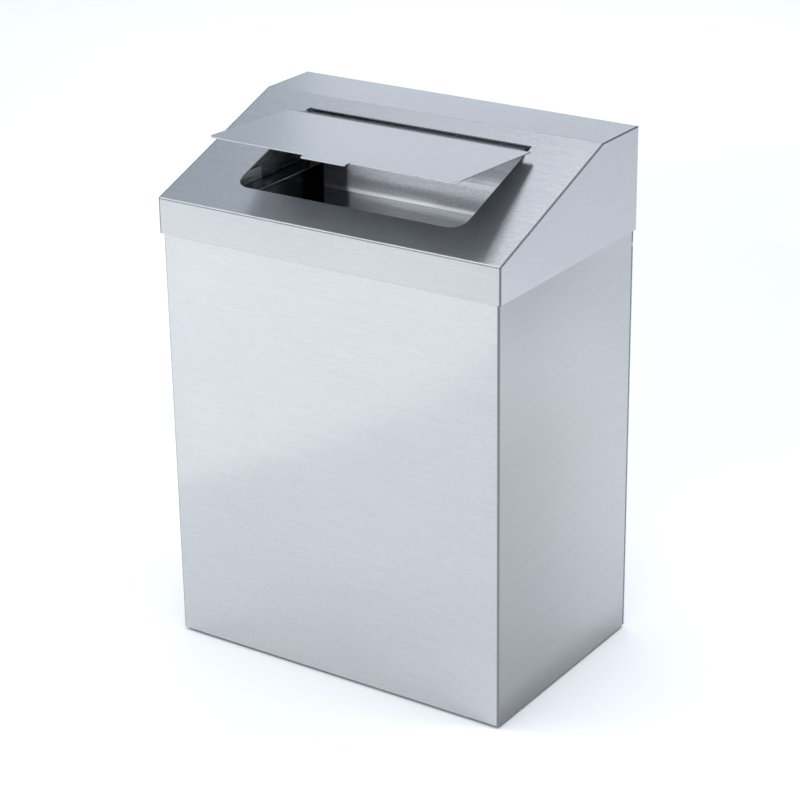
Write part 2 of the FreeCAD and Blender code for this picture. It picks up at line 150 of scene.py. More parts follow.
class WASTEBIN_PG_finish(bpy.types.PropertyGroup):
    steel_light: colour("Light steel", "Bright side of the brushed grain", (0.575, 0.583, 0.592))
    steel_dark: colour("Dark steel", "Dark side of the brushed grain", (0.49, 0.503, 0.518))
    # The cheeks' colours are a lighter copy of the steel above: painted light on the hood's sides.
    cheek_light: colour("Light cheek", "Bright side of the grain on the hood's cheeks",
                        (0.61525, 0.62381, 0.63344))
    cheek_dark: colour("Dark cheek", "Dark side of the grain on the hood's cheeks",
                       (0.5243, 0.53821, 0.55426))
    # The mill colours are partly the duller mill finish and partly painted shade on the parts
    # inside the bin.
    mill_light: colour("Mill steel", "Bright side of the inner sheet", (0.46, 0.465, 0.475))
    mill_dark: colour("Mill shade", "Dark side of the inner sheet", (0.36, 0.365, 0.38))
    dull_light: colour("Dull steel", "Bright side of the dull inner faces", (0.558, 0.568, 0.604))
    dull_dark: colour("Dull shade", "Dark side of the dull inner faces", (0.383, 0.391, 0.418))
    # A painted highlight along the lower edge of the hood's tail.
    painted_tail_highlight: colour("Tail edge", "Polished lower edge of the hood's tail", (0.94, 0.935, 0.945))
    rubber: colour("Rubber", "Colour of the feet", (0.028, 0.028, 0.030))
    floor: colour("Floor", "Colour of the studio floor", (0.96, 0.96, 0.96))
    roughness: share("Roughness", "Roughness of the brushed sheet", 0.18)


# How strong each painted shade is: shade, shadows and dark reflections painted into the steel's
# colour.
class WASTEBIN_PG_painted_shade(bpy.types.PropertyGroup):
    fold: share("Front folds", "Darkening of the body's front folds", 0.8)
    under_skirt: share("Under the skirt", "Darkening of the body below the skirt", 0.45)
    side: share("Sides", "Darkening of the body's sides", 0.03)
    side_front: share("Front of the sides", "Added darkening towards the front", 0.24)
    side_low: share("Low on the sides", "Added darkening of the lower half", 0.15)
    side_foot: share("Foot of the sides", "Added darkening at the foot", 0.3)
    inner: share("Inner faces", "Darkening of the body's inner faces", 0.7)
    cheek: share("Inner cheeks", "Darkening of the cheeks' inner faces", 0.85)
    weld: share("Welds", "Darkening of the hood's ground welds", 0.85)
    skirt: share("Skirt", "Darkening of the hood's skirt", 0.07)
    skirt_fold: share("Skirt fold", "Added darkening where the skirt folds", 0.25)
    tongue: share("Tongue", "Darkening of the flap's tongue", 0.9)


class WASTEBIN_PG_stage(bpy.types.PropertyGroup):
    floor_radius: length("Floor", "Radius of the floor", 9.0)
    room: colour("Room", "Colour of the light from all round", (0.80, 0.885, 1.0))
    room_strength: FloatProperty(name="Room strength", description="Light from all round",
                                 default=0.70, min=0.0)
    lens: FloatProperty(name="Lens", description="Focal length on a 36 mm sensor", default=108.94,
                        unit="CAMERA")
    target_height: length("Target", "Height that the camera looks at", 0.1986)
    distance: length("Distance", "Camera to its target", 1.8674)
    azimuth: FloatProperty(name="Azimuth", description="Camera round to the right of the front",
                           default=math.radians(34.127), subtype="ANGLE", unit="ROTATION")
    elevation: FloatProperty(name="Elevation", description="Camera above the horizon",
                             default=math.radians(22.692), subtype="ANGLE", unit="ROTATION")
    roll: FloatProperty(name="Roll", description="Turn of the picture",
                        default=math.radians(-0.846), subtype="ANGLE", unit="ROTATION")


# ---- shader helpers -----------------------------------------------------------------------
class Value:
    """A number socket. Arithmetic on it adds Math nodes."""

    def __init__(self, finish, socket):
        self.finish = finish
        self.socket = socket

    def _math(self, operation, first, second):
        made = self.finish.node("ShaderNodeMath", {"operation": operation}, {0: first, 1: second})
        return Value(self.finish, made.outputs[0])

    def __add__(self, other):
        return self._math("ADD", self, other)

    __radd__ = __add__

    def __sub__(self, other):
        return self._math("SUBTRACT", self, other)

    def __rsub__(self, other):
        return self._math("SUBTRACT", other, self)

    def __mul__(self, other):
        return self._math("MULTIPLY", self, other)

    __rmul__ = __mul__

    def __abs__(self):
        return self._math("ABSOLUTE", self, 0.0)


class Finish:
    """One material and the nodes in it."""

    def __init__(self, name):
        self.material = bpy.data.materials.new(name)
        self.material.use_nodes = True
        self.tree = self.material.node_tree
        self.shader = self.tree.nodes["Principled BSDF"]
        coordinates = self.node("ShaderNodeTexCoord")
        self.place = coordinates.outputs["Object"]
        self.outward = coordinates.outputs["Normal"]
        parts = self.node("ShaderNodeSeparateXYZ", None, {0: self.place})
        self.x, self.y, self.z = (Value(self, socket) for socket in parts.outputs)

    def node(self, kind, settings=None, inputs=None):
        """A node of this type. Its settings are set first, then its sockets' values or links."""
        made = self.tree.nodes.new(kind)
        for key, value in (settings or {}).items():
            setattr(made, key, value)
        for key, value in (inputs or {}).items():
            self.feed(made.inputs[key], value)
        return made

    def feed(self, socket, value):
        """Puts a value or a link into a socket."""
        if isinstance(value, Value):
            value = value.socket
        if isinstance(value, bpy.types.NodeSocket):
            self.tree.links.new(value, socket)
        elif hasattr(value, "__len__") and socket.type == "RGBA" and len(value) == 3:
            socket.default_value = (*value, 1.0)
        else:
            socket.default_value = value

    def noise(self, scales, detail=2.0, roughness=0.5, offset=(0.0, 0.0, 0.0)):
        """Noise on the piece's own coordinates, with so many waves per metre along each axis."""
        mapped = self.node("ShaderNodeMapping", None,
                           {"Vector": self.place, "Scale": scales, "Location": offset})
        made = self.node("ShaderNodeTexNoise", {"noise_dimensions": "3D"},
                         {"Vector": mapped.outputs[0], "Scale": 1.0, "Detail": detail,
                          "Roughness": roughness})
        return Value(self, made.outputs["Fac"])

    def ramp(self, value, low, high):
        """Stretches the part of a value between low and high to 0 to 1, smoothly."""
        made = self.node("ShaderNodeMapRange", {"interpolation_type": "SMOOTHSTEP"},
                         {"Value": value, "From Min": low, "From Max": high})
        return Value(self, made.outputs["Result"])

    def mix(self, factor, first, second):
        """A colour between two others."""
        made = self.node("ShaderNodeMix", {"data_type": "RGBA"},
                         {"Factor": factor, 6: first, 7: second})
        return made.outputs[2]

    def bump(self, height, distance, normal=None):
        """A normal from a height of 0 to 1 that stands for this distance, on top of another."""
        inputs = {"Height": height, "Distance": distance, "Strength": 1.0}
        if normal is not None:
            inputs["Normal"] = normal
        return self.node("ShaderNodeBump", None, inputs).outputs["Normal"]

    def set(self, **values):
        """Sets the shader's own sockets, named with _ for a space."""
        for name, value in values.items():
            self.feed(self.shader.inputs[name.replace("_", " ")], value)


# ---- painted shades, painted highlight and dull sides -------------------------------------
# Each pair says where a painted shade, the painted highlight or a dull side starts and where it is
# full:
# metres from the face, edge or floor that its name tells, or the upward part of a face's direction.
THROUGH_BODY_SHEET = (0.0006, 0.0009)
THROUGH_HOOD_SHEET = (0.0003, 0.0007)
BELOW_RIM = (0.0012, 0.0018)
BELOW_SKIRT = (0.0013, 0.0004)
SIDE_ABOVE_FLOOR = (0.30, 0.19)
FOOT_ABOVE_FLOOR = (0.032, 0.0)
BESIDE_WELD = (0.0015, 0.0010)
BEHIND_SKIRT_FACE = (0.0012, 0.0008)
BELOW_SKIRT_FOLD = (0.0012, 0.0006)
BEHIND_CREASE = (0.0028, 0.0034)
ABOVE_TAIL_EDGE = (0.0045, 0.0015)
BELOW_TAIL_EDGE = (0.0008, 0.0)
LOOKS_DOWN = (-0.2, -0.6)
# Share of a fold's radius at which its painted dark line is full.
FOLD_LINE = 0.6


def body_painted_shade(finish):
    """Painted shade on the body: front folds, sides, below the skirt and inner faces."""
    bend = bpy.context.scene.wastebin_sheet.bend
    shade = bpy.context.scene.wastebin_shade
    side = finish.ramp(abs(finish.x), WRAP_HIGH.x - bend, WRAP_HIGH.x - FOLD_LINE * bend)
    front = finish.ramp(finish.y, WRAP_LOW.y + bend, WRAP_LOW.y + FOLD_LINE * bend)
    # A painted shadow on the body just below the hood's skirt.
    skirt = finish.ramp(finish.z, *(HOOD_LOW.z - below for below in BELOW_SKIRT))
    # Painted shade: the sides darker at the foot, low down and towards the front.
    foot = finish.ramp(finish.z, *FOOT_ABOVE_FLOOR)
    lower = finish.ramp(finish.z, *SIDE_ABOVE_FLOOR)
    forward = finish.ramp(finish.y, WRAP_HIGH.y, WRAP_LOW.y)
    # A painted dark reflection along the front folds, where side and front meet.
    fold = side * front
    added = forward * shade.side_front + lower * shade.side_low + foot * shade.side_foot
    flat = skirt * shade.under_skirt + side * (shade.side + added)
    return inner_painted_shade(finish) + fold * shade.fold + (1 - fold) * flat


def inner_painted_shade(finish):
    """Painted shade on the body's inner faces under the rim, inside the bin."""
    in_side = finish.ramp(abs(finish.x), *(WRAP_HIGH.x - deep for deep in THROUGH_BODY_SHEET))
    in_front = finish.ramp(finish.y, *(WRAP_LOW.y + deep for deep in THROUGH_BODY_SHEET))
    below_rim = finish.ramp(finish.z, *(WRAP_HIGH.z - below for below in BELOW_RIM))
    return in_side * in_front * below_rim * bpy.context.scene.wastebin_shade.inner


def cheek_painted_shade(finish):
    """Painted shade on the inner faces of the hood's cheeks."""
    inside = finish.ramp(abs(finish.x), *(HOOD_HIGH.x - deep for deep in THROUGH_HOOD_SHEET))
    return inside * bpy.context.scene.wastebin_shade.cheek


def cover_painted_shade(finish):
    """Painted shade on the cover: its ground welds at both ends, its skirt and the fold above."""
    shade = bpy.context.scene.wastebin_shade
    fold_height = HOOD_LOW.z + bpy.context.scene.wastebin_hood.skirt
    # A painted dark reflection along the ground weld at each end.
    welds = finish.ramp(abs(finish.x), *(HOOD_HIGH.x - beside for beside in BESIDE_WELD))
    # Painted shade on the skirt, and more where it folds up into the slope.
    skirt = finish.ramp(finish.y, *(HOOD_LOW.y + behind for behind in BEHIND_SKIRT_FACE))
    fold = finish.ramp(finish.z, *(fold_height - below for below in BELOW_SKIRT_FOLD))
    return welds * shade.weld + (1 - welds) * skirt * (shade.skirt + fold * shade.skirt_fold)


def tongue_painted_shade(finish):
    """Painted shade on the flap's tongue, behind its crease."""
    scene = bpy.context.scene
    crease = slope_place(scene.wastebin_hood, 0, scene.wastebin_flap.crease, 0) - HINGE
    start = (HINGE + Matrix.Rotation(FLAP_OPEN, 3, HINGE_AXIS) @ crease).y
    tongue = finish.ramp(finish.y, *(start + behind for behind in BEHIND_CREASE))
    return tongue * scene.wastebin_shade.tongue


def inner_face(finish):
    """1 on the rear panels' faces inside the bin, 0 on the faces outside."""
    return finish.ramp(finish.y, *(HOOD_HIGH.y - deep for deep in THROUGH_HOOD_SHEET))


def underside(finish):
    """1 on faces that look down, 0 on those that look up: the sheet is brushed on one side."""
    parts = finish.node("ShaderNodeSeparateXYZ", None, {0: finish.outward})
    return finish.ramp(Value(finish, parts.outputs[2]), *LOOKS_DOWN)


def painted_tail_highlight(finish):
    """1 on the lower edge of the hood's tail, where a painted highlight goes, otherwise 0."""
    above = finish.ramp(finish.z, *(TAIL_EDGE + height for height in ABOVE_TAIL_EDGE))
    return above * finish.ramp(finish.z, *(TAIL_EDGE - below for below in BELOW_TAIL_EDGE))


# ---- finishes -----------------------------------------------------------------------------
# Waves of noise per metre: across the grain and along it, or the same on all axes.
FINE_WAVES = (3200.0, 140.0)
LINE_WAVES = (900.0, 16.0)
SPECKLE_WAVES = (1100.0,) * 3
CLOUD_WAVES = (9.0,) * 3
SKIN_WAVES = (2600.0,) * 3
DUST_WAVES = (120.0,) * 3
PAPER_WAVES = (300.0,) * 3
# Heights of the bumps, in metres.
FINE_BUMP = 0.00003
LINE_BUMP = 0.000003
SKIN_BUMP = 0.00003
# Shares of the fine noise, the lines and the speckle in the grain.
FINE_SHARE = 0.45
LINE_SHARE = 0.3
SPECKLE_SHARE = 0.25
# The middle part of the grain or mottle, which runs from the dark colour to the light one.
GRAIN_RANGE = (0.33, 0.67)
MOTTLE_RANGE = (0.35, 0.65)
DUST_RANGE = (0.4, 0.75)
# How much the grain and the clouds move tone and roughness, from their middle of 0.5.
CLOUD_TONE = 0.12
GRAIN_ROUGHNESS = 0.22
CLOUD_ROUGHNESS = 0.08
# What a full painted shade or a dull side does to the steel.
SHADE_TINT = 0.25
SHADE_ROUGHNESS = 0.1
DULL_ROUGHNESS = 0.3
DULL_METAL_LOSS = 0.65
# Roughness at the noise's least, and how much more at its most.
RUBBER_ROUGHNESS = 0.62
RUBBER_ROUGHNESS_RISE = 0.2
PAPER_ROUGHNESS = 0.75
PAPER_ROUGHNESS_RISE = 0.15
PAPER_GLOSS = 0.2
# Dust on the rubber as a gain and a lift of its colour, and the paper's darker fibres.
DUST_GAIN = 2.4
DUST_LIFT = 0.012
FIBRE_SHADE = 0.985

# name: axes that the grain runs along, tint, added roughness, bump depth, painted shade, dull side
BRUSHED = {
    "brushed_body": ((1, 1, 0), "steel", -0.06, 0.5, body_painted_shade, None),
    "brushed_cover": ((1, 0, 0), "steel", -0.05, 2.2, cover_painted_shade, None),
    "brushed_flap": ((1, 0, 0), "steel", 0.0, 1.0, tongue_painted_shade, underside),
    "brushed_cheek": ((1, 1, 0), "cheek", 0.0, 1.0, cheek_painted_shade, None),
    "brushed_back": ((1, 0, 0), "steel", 0.0, 1.0, None, inner_face),
    "mill_sheet": ((1, 1, 0), "mill", 0.08, 1.4, None, None),
    "drawn_wire": ((1, 1, 0), "mill", 0.02, 0.6, None, None),
    "turned_steel": ((0, 1, 1), "mill", 0.0, 0.8, None, None),
}


def brushed(name, along, tint_name, added_roughness, depth, painted_shade_of, dull_of):
    """Brushed stainless steel, by its row in BRUSHED."""
    look = bpy.context.scene.wastebin_finish
    light = tuple(getattr(look, tint_name + "_light"))
    dark = tuple(getattr(look, tint_name + "_dark"))
    finish = Finish(name)

    def stretched(across_waves, along_waves):
        return [along_waves if runs else across_waves for runs in along]

    fine = finish.noise(stretched(*FINE_WAVES), detail=2.0, roughness=0.6)
    lines = finish.noise(stretched(*LINE_WAVES), detail=3.0, roughness=0.65,
                         offset=(3.1, 7.7, 1.9))
    speckle = finish.noise(SPECKLE_WAVES, detail=1.0, offset=(5.3, 2.9, 8.1))
    clouds = finish.noise(CLOUD_WAVES, detail=2.0, offset=(1.7, 4.3, 6.1))
    grain = fine * FINE_SHARE + lines * LINE_SHARE + speckle * SPECKLE_SHARE
    tone = finish.ramp(grain + (clouds - 0.5) * CLOUD_TONE, *GRAIN_RANGE)
    tint = finish.mix(tone, dark, light)
    rough = (look.roughness + added_roughness + (grain - 0.5) * GRAIN_ROUGHNESS
             + (clouds - 0.5) * CLOUD_ROUGHNESS)
    metallic = 1.0
    # Painted shade: its mask darkens the tint towards a dark copy of the steel.
    if painted_shade_of:
        shade = painted_shade_of(finish)
        tint = finish.mix(shade, tint, [channel * SHADE_TINT for channel in dark])
        rough = rough + shade * SHADE_ROUGHNESS
    if dull_of:
        dull = dull_of(finish)
        mottle = finish.ramp(speckle * 0.6 + lines * 0.4, *MOTTLE_RANGE)
        inside = finish.mix(mottle, tuple(look.dull_dark), tuple(look.dull_light))
        # A painted highlight along the tail's lower edge.
        inside = finish.mix(painted_tail_highlight(finish), inside, tuple(look.painted_tail_highlight))
        tint = finish.mix(dull, tint, inside)
        rough = rough + dull * DULL_ROUGHNESS
        metallic = 1 - dull * DULL_METAL_LOSS
    coarse = finish.bump(lines, LINE_BUMP)
    finish.set(Base_Color=tint, Metallic=metallic, Roughness=rough,
               Normal=finish.bump(fine * 0.8 + speckle * 0.2, FINE_BUMP * depth, coarse))
    return finish.material


def rubber(name):
    """Moulded black rubber with a fine matt skin and a little dust."""
    tint = tuple(bpy.context.scene.wastebin_finish.rubber)
    finish = Finish(name)
    skin = finish.noise(SKIN_WAVES, detail=3.0)
    dust = finish.noise(DUST_WAVES, detail=2.0, offset=(2.2, 0.4, 5.0))
    dusty = [channel * DUST_GAIN + DUST_LIFT for channel in tint]
    finish.set(Base_Color=finish.mix(finish.ramp(dust, *DUST_RANGE), tint, dusty),
               Roughness=RUBBER_ROUGHNESS + skin * RUBBER_ROUGHNESS_RISE,
               Normal=finish.bump(skin, SKIN_BUMP))
    return finish.material


def paper(name):
    """Pale studio paper, nearly matt."""
    tint = tuple(bpy.context.scene.wastebin_finish.floor)
    finish = Finish(name)
    fibres = finish.noise(PAPER_WAVES, detail=3.0)
    darker = [channel * FIBRE_SHADE for channel in tint]
    finish.set(Base_Color=finish.mix(fibres, darker, tint),
               Roughness=PAPER_ROUGHNESS + fibres * PAPER_ROUGHNESS_RISE,
               Specular_IOR_Level=PAPER_GLOSS)
    return finish.material


def finish_of(name):
    """The material of that name, made when it is first asked for."""
    found = bpy.data.materials.get(name)
    if found:
        return found
    if name in BRUSHED:
        return brushed(name, *BRUSHED[name])
    return rubber(name)


# ---- mesh helpers -------------------------------------------------------------------------
def outline(bm, points, radii, closed):
    """A wire through the points, with each corner rounded to its radius."""
    verts = [bm.verts.new(point) for point in points]
    following = verts[1:] + verts[:1] if closed else verts[1:]
    for pair in zip(verts, following):
        bm.edges.new(pair)
    for vert, radius in zip(verts, radii):
        if radius:
            arms = [edge.other_vert(vert).co - vert.co for edge in vert.link_edges]
            turn = math.pi - arms[0].angle(arms[1])
            bmesh.ops.bevel(bm, geom=[vert], offset=radius * math.tan(turn / 2),
                            offset_type="OFFSET", segments=ARC_STEPS, profile=0.5,
                            affect="VERTICES", material=-1)
    return bm.edges[:]


def extrude(bm, edges, move):
    """Sweeps faces from the edges by a vector. Returns the far edges."""
    made = bmesh.ops.extrude_edge_only(bm, edges=edges)["geom"]
    verts = [item for item in made if isinstance(item, bmesh.types.BMVert)]
    bmesh.ops.translate(bm, verts=verts, vec=move)
    far = set(verts)
    return [edge for edge in bm.edges if edge.verts[0] in far and edge.verts[1] in far]


def fold_in(bm, edges, inward, radius, width):
    """Folds a strip over from the top edges: a rounded bend and then a flat rim."""
    turns = [math.pi / 2 * step / ARC_STEPS for step in range(ARC_STEPS + 1)]
    for last, turn in zip(turns, turns[1:]):
        run = math.cos(last) - math.cos(turn)
        rise = math.sin(turn) - math.sin(last)
        edges = extrude(bm, edges, (inward * run + Z_AXIS * rise) * radius)
    extrude(bm, edges, inward * (width - radius))


def cut(bm, axis, places):
    """Cuts the faces at these distances along an axis."""
    for place in places:
        bmesh.ops.bisect_plane(bm, geom=bm.verts[:] + bm.edges[:] + bm.faces[:], dist=SAME_PLACE,
                               plane_co=axis * place, plane_no=axis)


def face_out(bm, towards):
    """Gives the sheet one outside: its largest face that looks along towards, or away from it."""
    bmesh.ops.recalc_face_normals(bm, faces=bm.faces[:])
    facing = max(bm.faces, key=lambda f: abs(f.normal.dot(towards)) * f.calc_area())
    if facing.normal.dot(towards) < 0:
        bmesh.ops.reverse_faces(bm, faces=bm.faces[:])


def spread(start, end, count):
    """The places that part a length into so many equal strips."""
    return [start + (end - start) * step / count for step in range(1, count)]


def new_piece(name, bm, body, finish, stands_for):
    """A finished object from the bmesh, riding on a CAD body in place of its CAD node."""
    mesh = bpy.data.meshes.new(name)
    for face in bm.faces:
        face.smooth = True
    bm.to_mesh(mesh)
    bm.free()
    mesh.materials.append(finish)
    piece = bpy.data.objects.new(name, mesh)
    bpy.context.scene.collection.objects.link(piece)
    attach(piece, body)
    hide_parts(stands_for)
    return piece


def soften(piece, width):
    """Deburrs the cut edges and keeps the flat faces flat in shading."""
    bevel = piece.modifiers.new("Deburr", "BEVEL")
    bevel.width = width
    bevel.segments = DEBURR_STEPS
    bevel.limit_method = "ANGLE"
    bevel.angle_limit = SHARP_ANGLE
    bevel.use_clamp_overlap = True
    weighted = piece.modifiers.new("Flat shading", "WEIGHTED_NORMAL")
    weighted.weight = FLAT_WEIGHT
    weighted.keep_sharp = True


# ---- pieces -------------------------------------------------------------------------------
def slope_place(hood, x, up, out):
    """A point by its distance up the slope from the front fold and out from its face."""
    fold = HOOD_LOW.z + hood.skirt
    run = HOOD_HIGH.y - HOOD_LOW.y - hood.top_depth
    slope = math.atan2(HOOD_HIGH.z - fold, run)
    y = HOOD_LOW.y + up * math.cos(slope) - out * math.sin(slope)
    z = fold + up * math.sin(slope) + out * math.cos(slope)
    return Vector((x, y, z))


class WASTEBIN_OT_body(bpy.types.Operator):
    """Fold the body's front, sides, rim and back returns from one sheet"""
    bl_idname = "wastebin.body"
    bl_label = "Body Sheet"

    def execute(self, context):
        sheet = context.scene.wastebin_sheet
        body = context.scene.wastebin_body
        half, front, rear = WRAP_HIGH.x, WRAP_LOW.y, WRAP_HIGH.y
        low, high = WRAP_LOW.z, WRAP_HIGH.z - body.rim_bend
        inner = half - body.back_return
        rim_end = rear - body.rim_end
        bm = bmesh.new()
        path = [(-inner, rear), (-half, rear), (-half, front), (half, front), (half, rear),
                (inner, rear)]
        corners = [Vector((x, y, low)) for x, y in path]
        edges = outline(bm, corners, [0] + [sheet.bend] * 4 + [0], closed=False)
        extrude(bm, edges, Z_AXIS * (high - low))
        cut(bm, X_AXIS, spread(-half + sheet.bend, half - sheet.bend, FRONT_STRIPS))
        cut(bm, Y_AXIS, spread(front + sheet.bend, rear - sheet.bend, SIDE_STRIPS) + [rim_end])
        cut(bm, Z_AXIS, spread(low, high, HEIGHT_STRIPS))
        for vert in bm.verts:
            self.bow(vert, sheet, front, half, rear, low, high)
        top = [edge for edge in bm.edges if min(v.co.z for v in edge.verts) > high - SAME_PLACE]
        corner_y = front + sheet.bend + SAME_PLACE
        sides = [(Y_AXIS, 0, [edge for edge in top
                              if max(v.co.y for v in edge.verts) < front + SAME_PLACE])]
        for side in (-1, 1):
            sides.append((-side * X_AXIS, side, [
                edge for edge in top if min(v.co.x * side for v in edge.verts) > half - SAME_PLACE
                and min(v.co.y for v in edge.verts) > corner_y - 2 * SAME_PLACE
                and max(v.co.y for v in edge.verts) < rim_end + SAME_PLACE]))
        for inward, side, edges in sides:
            kept = set(bm.faces)
            fold_in(bm, edges, inward, body.rim_bend, body.rim_width)
            for mitred in ((side,) if side else (-1, 1)):
                strip = [face for face in bm.faces if face not in kept]
                self.mitre(bm, strip, mitred, side != 0, half, front, sheet.bend, body.rim_slit)
        face_out(bm, -Y_AXIS)
        bmesh.ops.solidify(bm, geom=bm.faces[:], thickness=sheet.thickness)
        piece = new_piece("body_sheet", bm, "body",
                          finish_of("brushed_body"), "body_wrap")
        soften(piece, sheet.deburr)
        return {"FINISHED"}

    def bow(self, vert, sheet, front, half, rear, low, high):
        """Lets the wide panels dip, as thin sheet does between its folds."""
        upright = (vert.co.z - low) / (high - low)
        rise = math.sin(math.pi * upright)
        if vert.co.y < front + SAME_PLACE:
            across = vert.co.x / half
            level = max(0.0, 1 - across * across)
            vert.co.y += sheet.bow * rise * level * level * (1.0 + FRONT_BOW_LEAN * across)
        elif abs(vert.co.x) > half - SAME_PLACE:
            across = 2 * (vert.co.y - front) / (rear - front) - 1
            level = max(0.0, 1 - across * across)
            inward = SIDE_BOW * sheet.bow * rise * level * level
            vert.co.x -= math.copysign(inward, vert.co.x)

    def mitre(self, bm, strip, side, keep_outside, half, front, bend, slit):
        """Trims a rim strip along a front corner's diagonal, half a slit back from it."""
        across = Vector((side, 1, 0)).normalized()
        corner = Vector((side * (half - bend), front + bend, 0))
        shift = slit / 2 if keep_outside else -slit / 2
        edges = list(dict.fromkeys(edge for face in strip for edge in face.edges))
        verts = list(dict.fromkeys(vert for face in strip for vert in face.verts))
        bmesh.ops.bisect_plane(bm, geom=verts + edges + strip, dist=SAME_PLACE,
                               plane_co=corner + across * shift, plane_no=across,
                               clear_inner=keep_outside, clear_outer=not keep_outside)


class WASTEBIN_OT_hood(bpy.types.Operator):
    """Fold the hood's skirt, slope and top from one sheet and cut the throw-in opening"""
    bl_idname = "wastebin.hood"
    bl_label = "Hood Cover"

    def execute(self, context):
        sheet = context.scene.wastebin_sheet
        hood = context.scene.wastebin_hood
        half, front, rear = HOOD_HIGH.x, HOOD_LOW.y, HOOD_HIGH.y
        low, high = HOOD_LOW.z, HOOD_HIGH.z
        bend_y = rear - hood.top_depth
        bm = bmesh.new()
        path = [(front, low), (front, low + hood.skirt), (bend_y, high), (rear, high)]
        corners = [Vector((-half, y, z)) for y, z in path]
        edges = outline(bm, corners, [0, sheet.bend, sheet.bend, 0], closed=False)
        extrude(bm, edges, X_AXIS * 2 * half)
        slope = max(bm.faces, key=lambda f: f.calc_area())
        border = slope.edges[:]
        bmesh.ops.delete(bm, geom=[slope], context="FACES_ONLY")
        mouth = hood.opening_width / 2
        hole_points = [slope_place(hood, x, up, 0) for x, up in (
            (-mouth, hood.opening_low), (mouth, hood.opening_low),
            (mouth, hood.opening_high), (-mouth, hood.opening_high))]
        radii = [hood.low_radius, hood.low_radius, hood.high_radius, hood.high_radius]
        kept = set(bm.edges)
        outline(bm, hole_points, radii, closed=True)
        hole = [e for e in bm.edges if e not in kept]
        bmesh.ops.triangle_fill(bm, use_beauty=True, edges=border + hole)
        bmesh.ops.remove_doubles(bm, verts=bm.verts[:], dist=SAME_PLACE)
        cut(bm, X_AXIS, [-mouth, mouth, -mouth + hood.low_radius, mouth - hood.low_radius, 0.0])
        face_out(bm, -Y_AXIS)
        bmesh.ops.solidify(bm, geom=bm.faces[:], thickness=sheet.thickness)
        self.grind(bm, sheet, half)
        piece = new_piece("hood_sheet", bm, "hood",
                          finish_of("brushed_cover"), "hood_cover")
        soften(piece, sheet.deburr)
        return {"FINISHED"}

    def grind(self, bm, sheet, half):
        """Rounds the outer edges that are welded to the cheeks and ground flush."""
        ends = [f for f in bm.faces if abs(f.calc_center_median().x) > half - SAME_PLACE]
        centre = Vector((0, HOOD_HIGH.y, HOOD_LOW.z))
        chosen = {}
        for face in ends:
            for edge in face.edges:
                others = [f for f in edge.link_faces if f not in ends]
                if others:
                    outward = (edge.verts[0].co + edge.verts[1].co) / 2 - centre
                    outward.x = 0
                    if others[0].normal.dot(outward) > 0 and edge.calc_length() > 0:
                        chosen[edge] = True
        bmesh.ops.bevel(bm, geom=list(chosen), offset=sheet.weld_edge, offset_type="OFFSET",
                        segments=WELD_STEPS, profile=0.5, affect="EDGES", material=-1,
                        clamp_overlap=True)


class WASTEBIN_OT_flap(bpy.types.Operator):
    """Cut the flap with its finger tab and crease its tongue down to the hinge"""
    bl_idname = "wastebin.flap"
    bl_label = "Flap"

    def execute(self, context):
        sheet = context.scene.wastebin_sheet
        hood = context.scene.wastebin_hood
        flap = context.scene.wastebin_flap
        top = flap.seat + sheet.thickness
        low = flap.front - flap.tab_length
        shoulder = flap.crease + flap.shoulder
        end = flap.crease + flap.tongue_reach
        tab, half, tongue = flap.tab_width / 2, flap.width / 2, flap.tongue_width / 2
        right = [(tab, low, flap.tab_radius), (tab, flap.front, flap.tab_radius / 2),
                 (half, flap.front, flap.front_radius), (half, shoulder, flap.tab_radius / 2),
                 (tongue, shoulder, 0.0), (tongue, end, 0.0)]
        left = [(-x, up, radius) for x, up, radius in reversed(right)]
        bm = bmesh.new()
        points = [slope_place(hood, x, up, top) for x, up, radius in right + left]
        edges = outline(bm, points, [radius for x, up, radius in right + left], closed=True)
        bmesh.ops.triangle_fill(bm, use_beauty=True, edges=edges)
        along = (slope_place(hood, 0, 1, 0) - slope_place(hood, 0, 0, 0)).normalized()
        crease = slope_place(hood, 0, flap.crease, top)
        cuts = [flap.crease, flap.crease - flap.crease_strip, flap.front + flap.front_radius,
                flap.front]
        for place in cuts + spread(flap.front, flap.crease, FLAP_STRIPS_ALONG):
            bmesh.ops.bisect_plane(bm, geom=bm.verts[:] + bm.edges[:] + bm.faces[:],
                                   dist=SAME_PLACE, plane_no=along,
                                   plane_co=slope_place(hood, 0, place, 0))
        cut(bm, X_AXIS, spread(-half, half, FLAP_STRIPS_ACROSS) + [-tab, tab])
        behind = [v for v in bm.verts if (v.co - crease).dot(along) > SAME_PLACE]
        bmesh.ops.rotate(bm, verts=behind, cent=crease,
                         matrix=Matrix.Rotation(-flap.tongue_angle, 3, X_AXIS))
        face_out(bm, Z_AXIS)
        bmesh.ops.solidify(bm, geom=bm.faces[:], thickness=sheet.thickness)
        bmesh.ops.rotate(bm, verts=bm.verts[:], cent=HINGE,
                         matrix=Matrix.Rotation(FLAP_OPEN, 3, HINGE_AXIS))
        piece = new_piece("flap_sheet", bm, "flap",
                          finish_of("brushed_flap"), "flap")
        soften(piece, sheet.deburr)
        return {"FINISHED"}


NODE_FINISHES = {
    "brushed_cheek": ("hood_side_left", "hood_side_right"),
    "brushed_back": ("back_panel", "hood_rear_panel"),
    "mill_sheet": ("base_pan", "mount_strip_upper", "mount_strip_lower", "bag_hook_front_left",
                   "bag_hook_front_right", "bag_hook_rear_left", "bag_hook_rear_right",
                   "rest_angle_left", "rest_angle_right", "hinge_bracket_left",
                   "hinge_bracket_right"),
    "drawn_wire": ("bag_frame",),
    "turned_steel": ("hinge_rod", "rod_clips", "hinge_tube_left", "hinge_tube_right"),
    "moulded_rubber": ("rubber_feet",),
}


